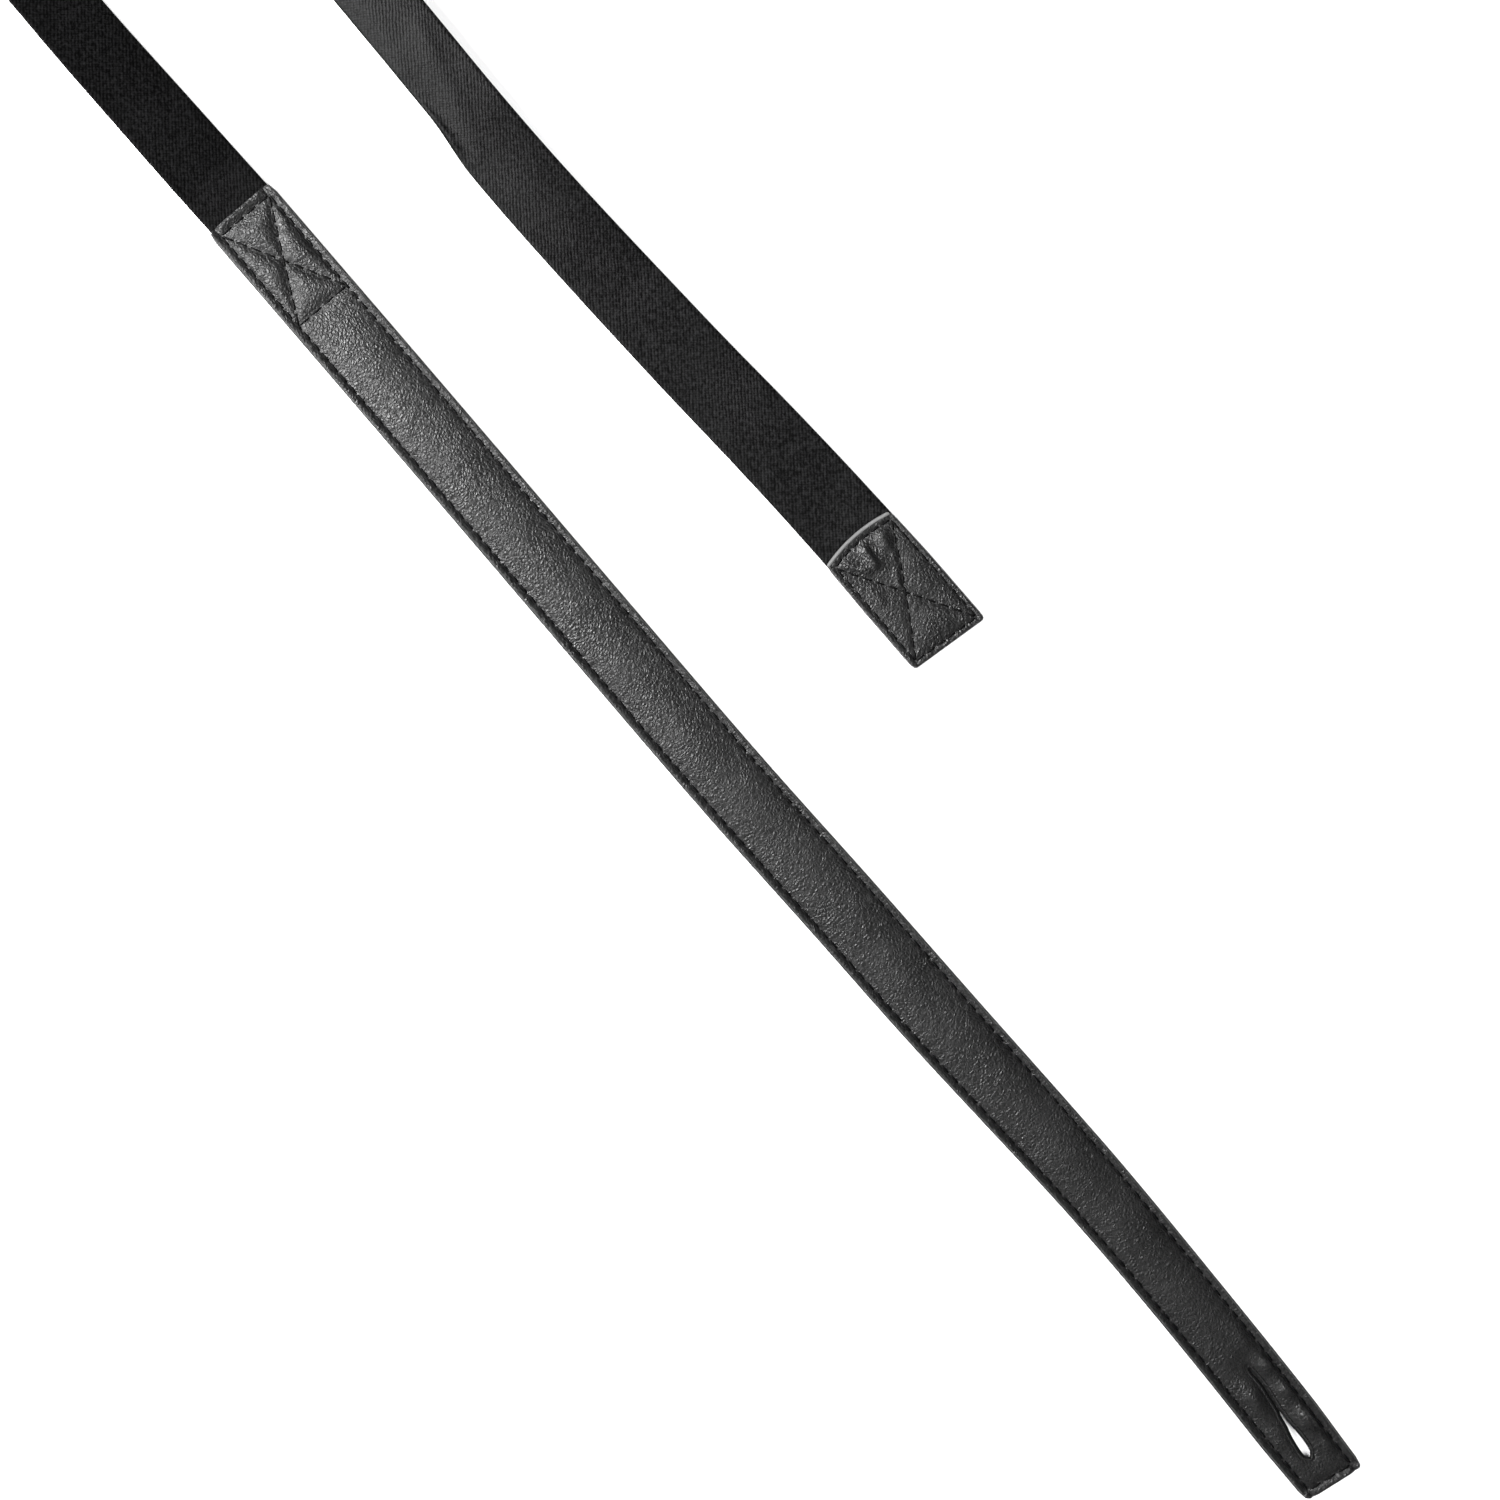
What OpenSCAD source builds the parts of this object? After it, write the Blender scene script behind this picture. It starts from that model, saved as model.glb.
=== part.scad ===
// A soft flat strap: a twill band with a long padded leather sleeve, slit with a buttonhole, at one
// end and a short leather tab at the other. It lies face up on a flat surface, the band turned back
// on itself by two flat folds so that both ends point along +X.
// Heights are counted up from the surface the strap lies on.

/* [Leather sleeve] */
// Length of the sleeve from its mouth to its tip
sleeve_len = 522; // [260:1:900]
// Width of the sleeve at its mouth
sleeve_w = 24; // [20:0.5:40]
// Width of the sleeve at its tip
sleeve_tip_w = 21.2; // [16:0.2:36]
// Distance from the tip to where the sleeve starts to narrow
taper_start = 214; // [120:1:230]
// Distance from the tip to where the sleeve has its tip width
taper_end = 60; // [56:1:100]
// Radius of the sleeve's corners at the tip
sleeve_corner_r = 1.6; // [0.8:0.1:4]
// Thickness of one layer of leather
leather_t = 0.8; // [0.6:0.05:1.4]
// Height that the padded middle stands above the sewn edges
puff_h = 0.6; // [0.2:0.1:1.5]
// Distance from an edge of the sleeve to its row of stitches
sleeve_margin = 2.2; // [1.6:0.1:4]
// Distance from the sleeve's mouth to its first cross seam
mouth_margin = 3.1; // [2:0.1:6]
// Length of the crossed box seam
box_len = 37; // [20:1:60]

/* [Buttonhole] */
// Length of the buttonhole slit
slit_len = 33; // [20:0.5:48]
// Length of the end of the slit that gapes open
slit_open_len = 16; // [6:0.5:18]
// Width of the slit where it gapes
slit_open_w = 2.8; // [1.6:0.1:4]
// Width of the slit where its lips nearly meet
slit_shut_w = 0.8; // [0.7:0.1:1.4]
// Distance from the tip of the sleeve to the slit
slit_inset = 11; // [8:0.5:20]
// Width of the satin stitching round the slit
rim_w = 1.6; // [0.8:0.1:2.5]

/* [Twill band] */
// Width of the band along the sleeve and round the turn
band_w = 23; // [18:0.5:24]
// Width of the band where it enters the tab
band_tab_w = 26; // [20:0.5:26]
// Thickness of the doubled band
band_t = 0.9; // [0.6:0.05:1.4]
// Length of the band from the middle of the turn to the sleeve's mouth
sleeve_run_len = 145; // [80:1:300]
// Length of the band from the middle of the turn to the tab's mouth
tab_run_len = 349; // [120:1:700]
// Distance between the middles of the two runs
run_spacing = 77; // [50:1:200]

/* [Leather tab] */
// Length of the tab from its mouth to its end
tab_len = 43; // [36:1:80]
// Width of the tab
tab_w = 27; // [26:0.5:40]
// Distance that the middle of the tab's mouth bows out towards the band
tab_bow = 1.9; // [0.6:0.1:3]
// Distance from an edge of the tab to its row of stitches
tab_margin = 1.8; // [1.2:0.1:3]
// Radius of the tab's corners at its end
tab_corner_r = 1.5; // [0.6:0.1:4]
// Width of the binding across the tab's mouth
binding_w = 1.2; // [0.8:0.1:2]

/* [Thread] */
// Thickness of the sewing thread
thread_d = 0.5; // [0.3:0.05:0.8]

/* [Bends] */
// Furthest that the sleeve and the tab fold back over the band, in degrees
bend_max = 120; // [60:5:130]

/* [Hidden] */

$fn = 48;
eps = 0.01;          // overlap that makes a cut clean
slack = 0.1;         // room round a piece held in a pocket
hinge_room = 0.2;    // room left where two pieces fold past each other

// Heights
band_low = leather_t;                // underside of the band inside the leather
band_high = band_low + band_t;       // top of the band inside the leather
edge_high = band_high + leather_t;   // top of the leather along its sewn edges
puff_high = edge_high + puff_h;      // top of the padded middle of the sleeve
filler_high = puff_high - leather_t; // top of the padding under the face
groove_d = thread_d * 0.7;           // depth of the grooves that hold the under threads
thread_h = thread_d * 0.6;           // height of a thread where it lies on or in the leather

// The bend beside each mouth: its line runs across the band at half the band's thickness
bend_z = band_low + band_t / 2;
stub_gap = band_t / 2 * tan(bend_max / 2) + hinge_room / 4;
lip_gap = (band_t / 2 - (edge_high - bend_z) * cos(bend_max)) / sin(bend_max) + hinge_room;
bend_gap = max(stub_gap, lip_gap);
ramp_len = 14;       // length over which the band rises from the surface into the leather

// Places along X: the turn's middle is at 0 before everything is centred
mouth_x = sleeve_run_len;
tip_x = mouth_x + sleeve_len;
tab_mouth_x = tab_run_len;
tab_end_x = tab_mouth_x + tab_len;
low_x = -band_w / 2;
high_x = max(tip_x, tab_end_x);
low_y = -max(sleeve_w, band_w) / 2;
high_y = run_spacing + max(tab_w, band_w) / 2;

// The crossed boxes
box_start = mouth_x + mouth_margin;
box_end = box_start + box_len;
tongue_end = box_end + 2;            // the band reaches just past the box seam
tab_box_start = tab_mouth_x + binding_w + 1;
tab_box_end = tab_end_x - tab_margin;

// The buttonhole
slit_x1 = tip_x - slit_inset;        // end nearer the tip
slit_x0 = slit_x1 - slit_len;
neck_x = slit_x1 - slit_open_len;    // where the slit closes up
liner_t = 0.3;                       // thickness of the stitching inside the slit
patch_edge = 3.5;                    // how far the patch reaches past the slit all round
patch_x0 = slit_x0 - patch_edge;
patch_x1 = slit_x1 + patch_edge;
patch_w = slit_open_w + 2 * patch_edge + 2 * rim_w;
flat_x = patch_x0 - 2;               // the padded middle ends here
puff_rise = 8;                       // length over which the padded middle rises
filler_gap = 2;                      // room between the padding and the rows beside it

// Half the sleeve's width at x, without its rounded corners
function sleeve_half(x) = let(
    share = (x - (tip_x - taper_start)) / (taper_start - taper_end),
    s = min(1, max(0, share)),
    smooth = s * s * (3 - 2 * s)
) (sleeve_w + (sleeve_tip_w - sleeve_w) * smooth) / 2;

// Half the sleeve's width at x, drawn in by `inset` and rounded at the tip
function inset_half(x, inset) = let(
    r = max(0.2, sleeve_corner_r - inset),
    past = max(0, x - (tip_x - inset - r))
) sleeve_half(x) - inset - r + sqrt(max(0, r * r - past * past));

// Places along the sleeve where its outline needs a point, from x0 to x1
taper_steps = 12;
corner_steps = 5;
function outline_xs(x0, x1, inset) = let(r = max(0.2, sleeve_corner_r - inset)) concat(
    [x0],
    [for (i = [0 : taper_steps])
        let(x = tip_x - taper_start + (taper_start - taper_end) * i / taper_steps)
        if (x > x0 + 1 && x < min(x1, tip_x - inset - r) - 1) x],
    x1 < tip_x - inset ? [x1] :
        [for (i = [0 : corner_steps]) tip_x - inset - r + r * sin(90 * i / corner_steps)]
);

// The sleeve's plan from x0 to x1, drawn in by `inset`; x1 at the tip gives rounded corners
module sleeve_plan(x0, x1, inset = 0) {
    xs = outline_xs(x0, x1, inset);
    n = len(xs);
    polygon(concat(
        [for (i = [0 : n - 1]) [xs[i], -inset_half(xs[i], inset)]],
        [for (i = [n - 1 : -1 : 0]) [xs[i], inset_half(xs[i], inset)]]
    ));
}

// The slit's plan, grown by `grow` all round
module slit_plan(grow = 0) {
    open_r = slit_open_w / 2 + grow;
    shut_r = slit_shut_w / 2 + grow;
    open_x = slit_x1 - slit_open_w / 2;
    far_x = slit_x0 + slit_shut_w / 2;
    translate([open_x, 0]) circle(r = open_r);
    translate([far_x, 0]) circle(r = shut_r);
    polygon([[far_x, -shut_r], [neck_x, -shut_r], [open_x, -open_r],
             [open_x, open_r], [neck_x, shut_r], [far_x, shut_r]]);
}

// A line of thread from p to q, laid flat
module thread_line(p, q) {
    d = q - p;
    translate(p) rotate(atan2(d[1], d[0])) translate([0, -thread_d / 2]) square([norm(d), thread_d]);
}

// Plan of the seam round the sleeve: both sides, across the mouth and across the tip
module sleeve_edge_plan(grow = 0) {
    half = thread_d / 2 + grow;
    difference() {
        sleeve_plan(box_start - half, tip_x - sleeve_margin + half, sleeve_margin - half);
        sleeve_plan(box_start + half, tip_x - sleeve_margin - half, sleeve_margin + half);
    }
}

// Plan of a crossed box's inner lines, held inside the frame from x0 to x1 and `half` wide each side
module cross_plan(x0, x1, half, grow = 0) {
    intersection() {
        translate([x0, -half]) square([x1 - x0, 2 * half]);
        offset_lines(grow) {
            thread_line([x0, -half], [x1, half]);
            thread_line([x0, half], [x1, -half]);
        }
    }
}

// Widens thin lines by drawing them again at each side
module offset_lines(grow) {
    children();
    if (grow > 0) for (dx = [-grow, grow], dy = [-grow, grow]) translate([dx, dy]) children();
}

module sleeve_cross_plan(grow = 0) {
    gap = thread_d / 2 + slack;
    half = sleeve_half(mouth_x) - sleeve_margin - gap;
    cross_plan(box_start + gap, box_end - thread_d / 2, half, grow);
    translate([box_end - thread_d / 2 - grow, -half]) square([thread_d + 2 * grow, 2 * half]);
}

// Plan of the tab, drawn in by `inset`; its mouth is an arc that bows towards the band
bow_r = (pow(tab_w / 2, 2) + pow(tab_bow, 2)) / (2 * tab_bow);
module tab_plan(inset = 0, mouth_inset = 0) {
    r = max(0.2, tab_corner_r - inset);
    half = tab_w / 2 - inset;
    end_x = tab_end_x - inset;
    start_x = tab_mouth_x + mouth_inset;
    intersection() {
        union() {
            translate([start_x - tab_bow, -half]) square([end_x - r - start_x + tab_bow, 2 * half]);
            translate([end_x - r - eps, -half + r]) square([r + eps, 2 * (half - r)]);
            for (side = [-1, 1]) translate([end_x - r, side * (half - r)]) circle(r = r);
        }
        translate([start_x - tab_bow + bow_r, 0]) circle(r = bow_r, $fn = 180);
    }
}

// Plan of the tab's edge seam
module tab_edge_plan(grow = 0) {
    half = thread_d / 2 + grow;
    difference() {
        tab_plan(tab_margin - half, binding_w + 1 - half);
        tab_plan(tab_margin + half, binding_w + 1 + half);
    }
}

module tab_cross_plan(grow = 0) {
    gap = thread_d / 2 + slack;
    cross_plan(tab_box_start + gap, tab_box_end - gap, tab_w / 2 - tab_margin - gap, grow);
}

module slab(z0, z1) { translate([0, 0, z0]) linear_extrude(z1 - z0) children(); }

// Puts a piece of the sleeve's side, or of the tab's side, in the centred frame
module place() { translate([-(low_x + high_x) / 2, -(low_y + high_y) / 2, 0]) children(); }
module place_tab() { place() translate([0, run_spacing, 0]) children(); }

// Outside of the face leather: rings across the sleeve, low at its ends and raised between its rows
function face_ring(x, puff) = let(
    half = inset_half(x, 0),
    inner = half - sleeve_margin - thread_d / 2,
    shares = [-1, -0.94, -0.84, -0.68, -0.4, 0, 0.4, 0.68, 0.84, 0.94, 1]
) concat(
    [[x, -half, band_low], [x, -half, edge_high - 0.3], [x, -half + 0.3, edge_high]],
    [for (f = shares) [x, f * inner, edge_high + puff * (1 - pow(abs(f), 6))]],
    [[x, half - 0.3, edge_high], [x, half, edge_high - 0.3], [x, half, band_low]]
);
module face_outside() {
    xs = concat(
        [[mouth_x, 0], [box_end + 1, 0], [box_end + 3, 0.6], [box_end + puff_rise, 1]],
        [for (i = [0 : taper_steps])
            let(x = tip_x - taper_start + (taper_start - taper_end) * i / taper_steps)
            if (x > box_end + puff_rise + 1 && x < flat_x - puff_rise - 1) [x, 1]],
        [[flat_x - puff_rise, 1], [flat_x - 2, 0.3], [flat_x, 0]],
        [for (i = [0 : corner_steps])
            [tip_x - sleeve_corner_r + sleeve_corner_r * sin(90 * i / corner_steps), 0]]
    );
    rings = [for (p = xs) face_ring(p[0], puff_h * p[1])];
    n = len(rings);
    m = len(rings[0]);
    polyhedron(
        points = [for (r = rings) for (p = r) p],
        faces = concat(
            [for (j = [1 : m - 2]) [0, j + 1, j]],
            [for (j = [1 : m - 2]) [(n - 1) * m, (n - 1) * m + j, (n - 1) * m + j + 1]],
            [for (i = [0 : n - 2], j = [0 : m - 1]) let(k = (j + 1) % m, a = i * m, b = a + m)
                each [[a + j, b + k, b + j], [a + j, a + k, b + k]]]
        )
    );
}

// What the face leather covers: the band's end, the padding and the patch. As a cut, each starts `drop`
// lower, so that it opens cleanly on the underside.
cut_drop = 0.5;
module band_tongue(drop = 0, lead = 0) {
    start_x = mouth_x - bend_gap + stub_gap - lead;
    slab(band_low - drop, band_high) translate([start_x, -band_w / 2]) square([tongue_end - start_x, band_w]);
}
module filler_shape(drop = 0) {
    slab(band_low - drop, filler_high)
        sleeve_plan(tongue_end + 1, flat_x - puff_rise, sleeve_margin + filler_gap);
}
module patch_shape(drop = 0) {
    slab(band_low - drop, band_high)
        translate([patch_x0, -patch_w / 2]) square([patch_x1 - patch_x0, patch_w]);
}

module sleeve_face() {
    color("#2b2b2c") place() difference() {
        face_outside();
        band_tongue(cut_drop, cut_drop);
        filler_shape(cut_drop);
        patch_shape(cut_drop);
        slab(0, puff_high + 1) slit_plan(liner_t);
    }
}

module sleeve_back() {
    color("#242425") place() difference() {
        slab(0, band_low) sleeve_plan(mouth_x, tip_x);
        slab(-eps, groove_d) sleeve_edge_plan();
        slab(-eps, groove_d) sleeve_cross_plan();
        slab(-eps, band_low + eps) slit_plan(liner_t);
        slab(-eps, groove_d) slit_plan(liner_t + rim_w);
    }
}

module sleeve_filler() { color("#8f8f8c") place() filler_shape(); }

module buttonhole_patch() {
    color("#c9c7c0") place() difference() {
        patch_shape();
        slab(0, edge_high) slit_plan(liner_t);
    }
}

// Satin stitching: a flange on the face, another in the back's groove and a lining between them
module buttonhole_thread() {
    color("#171717") place() difference() {
        union() {
            slab(edge_high, edge_high + thread_h) slit_plan(liner_t + rim_w);
            slab(groove_d - thread_h, edge_high + eps) slit_plan(liner_t);
            slab(groove_d - thread_h, groove_d) slit_plan(liner_t + rim_w);
        }
        slab(-eps, puff_high + 1) slit_plan();
    }
}

module sleeve_edge_thread() { color("#1a1a1a") place() slab(edge_high, edge_high + thread_h) sleeve_edge_plan(); }
module sleeve_edge_bobbin() { color("#1a1a1a") place() slab(groove_d - thread_h, groove_d) sleeve_edge_plan(); }
module sleeve_cross_thread() { color("#1a1a1a") place() slab(edge_high, edge_high + thread_h) sleeve_cross_plan(); }
module sleeve_cross_bobbin() { color("#1a1a1a") place() slab(groove_d - thread_h, groove_d) sleeve_cross_plan(); }

module band_sleeve_end() { color("#1e1e20") place() band_tongue(); }

// Side view of a run: folded part on top of the turn, down to the surface, then up into the leather
module run_profile(end_x) {
    step_x = band_w / 2 + 1;
    rise_x = end_x - ramp_len;
    polygon([
        [low_x, band_t], [step_x, band_t], [step_x + ramp_len, 0], [rise_x - 2, 0], [end_x - 2, band_low],
        [end_x, band_low], [end_x, band_high], [end_x - 2, band_high], [rise_x - 2, band_t],
        [step_x + ramp_len, band_t], [step_x, 2 * band_t], [low_x, 2 * band_t]
    ]);
}

// A run of the band, `w0` wide at the turn and `w1` wide at end_x, cut on the fold's slant;
// side is 1 where the turn lies towards +Y and -1 where it lies towards -Y
module band_run(end_x, w0, w1, side) {
    wide_x = band_w;
    intersection() {
        rotate([90, 0, 0]) translate([0, 0, -w1]) linear_extrude(2 * w1) run_profile(end_x);
        slab(-1, 2 * band_t + 1) polygon([
            [low_x, side * w0 / 2], [w0 / 2, -side * w0 / 2], [wide_x, -side * w0 / 2],
            [end_x, -side * w1 / 2], [end_x, side * w1 / 2], [wide_x, side * w0 / 2]
        ]);
    }
}

module band_sleeve_run() {
    color("#1e1e20") place() band_run(mouth_x - bend_gap - eps, band_w, band_w, 1);
}
module band_tab_run() {
    color("#1e1e20") place_tab() band_run(tab_mouth_x - tab_bow - bend_gap - eps, band_w, band_tab_w, -1);
}

// The piece of band that crosses between the two folds, under both runs
module band_turn() {
    color("#1e1e20") place() slab(0, band_t) polygon([
        [-band_w / 2, band_w / 2], [band_w / 2, -band_w / 2],
        [band_w / 2, run_spacing + band_w / 2], [-band_w / 2, run_spacing - band_w / 2]
    ]);
}

tab_band_start = tab_mouth_x - tab_bow - bend_gap + stub_gap;
tab_band_end = tab_end_x - tab_margin - 2;
module tab_band_shape() {
    slab(band_low, band_high)
        translate([tab_band_start, -band_tab_w / 2]) square([tab_band_end - tab_band_start, band_tab_w]);
}
module band_tab_end() { color("#1e1e20") place_tab() tab_band_shape(); }

module tab_face() {
    color("#2a2a2b") place_tab() difference() {
        slab(band_low, edge_high) tab_plan();
        tab_band_shape();
        slab(edge_high - leather_t / 2, edge_high + 1) binding_plan();
    }
}

module tab_back() {
    color("#242425") place_tab() difference() {
        slab(0, band_low) tab_plan();
        slab(-eps, groove_d) tab_edge_plan();
        slab(-eps, groove_d) tab_cross_plan();
    }
}

// Plan of the strip that binds the tab's mouth
module binding_plan() {
    difference() {
        tab_plan();
        tab_plan(0, binding_w);
    }
}
module tab_mouth_binding() {
    color("#6c6c6a") place_tab() slab(edge_high - leather_t / 2, edge_high + thread_h) binding_plan();
}

module tab_edge_thread() { color("#1a1a1a") place_tab() slab(edge_high, edge_high + thread_h) tab_edge_plan(); }
module tab_edge_bobbin() { color("#1a1a1a") place_tab() slab(groove_d - thread_h, groove_d) tab_edge_plan(); }
module tab_cross_thread() { color("#1a1a1a") place_tab() slab(edge_high, edge_high + thread_h) tab_cross_plan(); }
module tab_cross_bobbin() { color("#1a1a1a") place_tab() slab(groove_d - thread_h, groove_d) tab_cross_plan(); }

sleeve_face();
sleeve_back();
sleeve_filler();
buttonhole_patch();
buttonhole_thread();
sleeve_edge_thread();
sleeve_edge_bobbin();
sleeve_cross_thread();
sleeve_cross_bobbin();
band_sleeve_end();
band_sleeve_run();
band_turn();
band_tab_run();
band_tab_end();
tab_face();
tab_back();
tab_mouth_binding();
tab_edge_thread();
tab_edge_bobbin();
tab_cross_thread();
tab_cross_bobbin();
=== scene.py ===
import math
import random

import bmesh
import bpy
from mathutils import Matrix, Vector, noise


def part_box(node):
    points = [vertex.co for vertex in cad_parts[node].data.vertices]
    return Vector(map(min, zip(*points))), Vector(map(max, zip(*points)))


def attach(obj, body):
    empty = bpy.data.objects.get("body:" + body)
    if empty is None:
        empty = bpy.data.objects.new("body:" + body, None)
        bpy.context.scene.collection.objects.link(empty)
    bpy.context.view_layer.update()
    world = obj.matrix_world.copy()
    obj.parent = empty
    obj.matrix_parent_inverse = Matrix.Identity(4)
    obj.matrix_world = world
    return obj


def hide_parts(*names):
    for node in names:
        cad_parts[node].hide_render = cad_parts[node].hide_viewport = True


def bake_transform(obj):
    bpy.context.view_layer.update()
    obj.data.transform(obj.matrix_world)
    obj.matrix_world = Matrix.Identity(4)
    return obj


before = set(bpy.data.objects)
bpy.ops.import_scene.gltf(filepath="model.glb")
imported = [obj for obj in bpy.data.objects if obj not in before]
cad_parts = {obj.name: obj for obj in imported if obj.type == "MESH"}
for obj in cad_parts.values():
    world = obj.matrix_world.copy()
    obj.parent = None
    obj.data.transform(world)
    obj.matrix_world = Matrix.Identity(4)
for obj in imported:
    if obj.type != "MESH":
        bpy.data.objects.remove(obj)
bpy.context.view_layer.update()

MM = 0.001

# ---------------------------------------------------------------------------------------------
# Camera, lights and floor. The strap lies on a white table and is seen from straight above, with
# its runs going down to the right. One large softbox stands low on the left of the picture.

sleeve_low, sleeve_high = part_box("sleeve_back")
MOUTH_X = sleeve_low.x / MM
SLEEVE_Y = (sleeve_low.y + sleeve_high.y) / 2 / MM
SLEEVE_LEN = (sleeve_high.x - sleeve_low.x) / MM

PICTURE_TURN = math.radians(49.03)
aim = Vector((MOUTH_X + 231.1, SLEEVE_Y + 10.0, 0)) * MM
camera_data = bpy.data.cameras.new("camera")
camera_data.lens = 85
camera_data.sensor_width = 36
camera_data.clip_end = 20
camera = bpy.data.objects.new("camera", camera_data)
camera.location = aim + Vector((0, 0, 1.101))
camera.rotation_euler = (0, 0, PICTURE_TURN)
bpy.context.scene.collection.objects.link(camera)
bpy.context.scene.camera = camera

picture_right = Vector((math.cos(PICTURE_TURN), math.sin(PICTURE_TURN), 0))
picture_up = Vector((-math.sin(PICTURE_TURN), math.cos(PICTURE_TURN), 0))


def softbox(name, right, up, height, width, power, highlights=True):
    """A square area light, placed in the picture's directions and turned to face the strap."""
    light = bpy.data.lights.new(name, "AREA")
    light.shape = "SQUARE"
    light.size = width
    light.energy = power
    lamp = bpy.data.objects.new(name, light)
    lamp.location = aim + picture_right * right + picture_up * up + Vector((0, 0, height))
    lamp.rotation_euler = (aim - lamp.location).to_track_quat("-Z", "Y").to_euler()
    lamp.visible_glossy = highlights
    bpy.context.scene.collection.objects.link(lamp)


softbox("key_softbox", right=-0.77, up=0.27, height=0.73, width=0.28, power=29)
softbox("fill_softbox", right=1.6, up=-0.7, height=2.0, width=1.6, power=105, highlights=False)
softbox("low_softbox", right=-0.7, up=-1.9, height=1.5, width=1.0, power=5)
softbox("tip_softbox", right=0.3, up=-0.36, height=1.2, width=0.22, power=0.9)

world = bpy.data.worlds.new("studio")
world.use_nodes = True
world.node_tree.nodes["Background"].inputs["Color"].default_value = (1, 1, 1, 1)
world.node_tree.nodes["Background"].inputs["Strength"].default_value = 0.1
bpy.context.scene.world = world
bpy.context.scene.view_settings.view_transform = "Standard"


class Wire:
    """A socket in one finish's node tree. Sums on wires add Math nodes."""

    def __init__(self, tree, socket):
        self.tree = tree
        self.socket = socket

    def maths(self, operation, *others, first=None):
        node = self.tree.nodes.new("ShaderNodeMath")
        node.operation = operation
        terms = (self,) + others if first is None else (first, self)
        for place, term in enumerate(terms):
            if isinstance(term, Wire):
                self.tree.links.new(term.socket, node.inputs[place])
            else:
                node.inputs[place].default_value = term
        return Wire(self.tree, node.outputs[0])

    def __add__(self, other):
        return self.maths("ADD", other)

    def __radd__(self, other):
        return self.maths("ADD", other)

    def __sub__(self, other):
        return self.maths("SUBTRACT", other)

    def __rsub__(self, other):
        return self.maths("SUBTRACT", first=other)

    def __mul__(self, other):
        return self.maths("MULTIPLY", other)

    def __rmul__(self, other):
        return self.maths("MULTIPLY", other)

    def clamped(self):
        return self.maths("MINIMUM", 1.0).maths("MAXIMUM", 0.0)


class Finish:
    """A material built round one Principled shader, whose plain values are set when it is made."""

    def __init__(self, name, **values):
        self.material = bpy.data.materials.new(name)
        self.material.use_nodes = True
        self.tree = self.material.node_tree
        self.shader = self.tree.nodes["Principled BSDF"]
        for key, value in values.items():
            self.shader.inputs[key.replace("_", " ")].default_value = value

    def add(self, kind, settings=None, inputs=None, out=0):
        """Adds any other node: its settings first, then the values or links of its sockets."""
        node = self.tree.nodes.new("ShaderNode" + kind)
        for key, value in (settings or {}).items():
            setattr(node, key, value)
        for key, value in (inputs or {}).items():
            if isinstance(value, Wire):
                self.tree.links.new(value.socket, node.inputs[key])
            else:
                node.inputs[key].default_value = value
        return Wire(self.tree, node.outputs[out])

    def feed(self, name, wire):
        self.tree.links.new(wire.socket, self.shader.inputs[name])

    def shades(self, dark, light, amount):
        """Base colour that runs from dark to light with amount."""
        mix = self.add("Mix", {"data_type": "RGBA"}, {0: amount, 6: dark + (1,), 7: light + (1,)}, out=2)
        self.feed("Base Color", mix)

    def relief(self, height, depth, strength=1.0):
        """Bump of the given depth, in metres."""
        self.feed("Normal", self.add("Bump", None, {
            "Height": height, "Distance": depth, "Strength": strength}))


floor_paint = Finish("table_white", Roughness=0.9, Specular_IOR_Level=0.1)
table_tone = floor_paint.add("TexNoise", None, {"Scale": 3.0, "Detail": 1.0})
floor_paint.shades((0.93, 0.93, 0.93), (0.95, 0.95, 0.95), table_tone)
bm = bmesh.new()
bmesh.ops.create_grid(bm, x_segments=2, y_segments=2, size=4)
bmesh.ops.translate(bm, verts=bm.verts, vec=(0, 0, -0.0002))
table_mesh = bpy.data.meshes.new("table")
bm.to_mesh(table_mesh)
bm.free()
table = bpy.data.objects.new("table", table_mesh)
table_mesh.materials.append(floor_paint.material)
bpy.context.scene.collection.objects.link(table)

# ---------------------------------------------------------------------------------------------
# The band: one long strip of fine black twill, folded double lengthwise, so it has a folded edge
# on one side and two raw plies on the other. It turns back on itself with two flat folds, and
# lies a little rolled and rippled along its runs, as soft cloth does.

turn_low, turn_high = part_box("band_turn")
run_low, run_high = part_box("band_sleeve_run")
tab_run_low, tab_run_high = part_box("band_tab_run")
tongue_low, tongue_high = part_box("band_sleeve_end")
tab_tongue_low, tab_tongue_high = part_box("band_tab_end")
tab_low, tab_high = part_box("tab_back")

BAND_T = (turn_high.z - turn_low.z) / MM
BAND_W = (turn_high.x - turn_low.x) / MM
TURN_X = (turn_high.x + turn_low.x) / 2 / MM
TAB_Y = (tab_low.y + tab_high.y) / 2 / MM
TAB_W = (tab_high.y - tab_low.y) / MM
TAB_BAND_W = (tab_tongue_high.y - tab_tongue_low.y) / MM
TAB_END_X = tab_high.x / MM
TAB_MOUTH_X = tab_low.x / MM
LEATHER_T = (tongue_low.z / MM)


def through(points, at):
    """Value at `at` on a smooth curve through given (place, value) points."""
    if at <= points[0][0]:
        return points[0][1]
    if at >= points[-1][0]:
        return points[-1][1]
    k = max(i for i in range(len(points) - 1) if points[i][0] <= at)

    def slope(i):
        a, b = points[max(i - 1, 0)], points[min(i + 1, len(points) - 1)]
        return (b[1] - a[1]) / (b[0] - a[0])

    (x0, y0), (x1, y1) = points[k], points[k + 1]
    span = x1 - x0
    t = (at - x0) / span
    return (y0 * (1 + 2 * t) * (1 - t) ** 2 + y1 * t * t * (3 - 2 * t)
            + span * slope(k) * t * (1 - t) ** 2 - span * slope(k + 1) * t * t * (1 - t))


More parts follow.
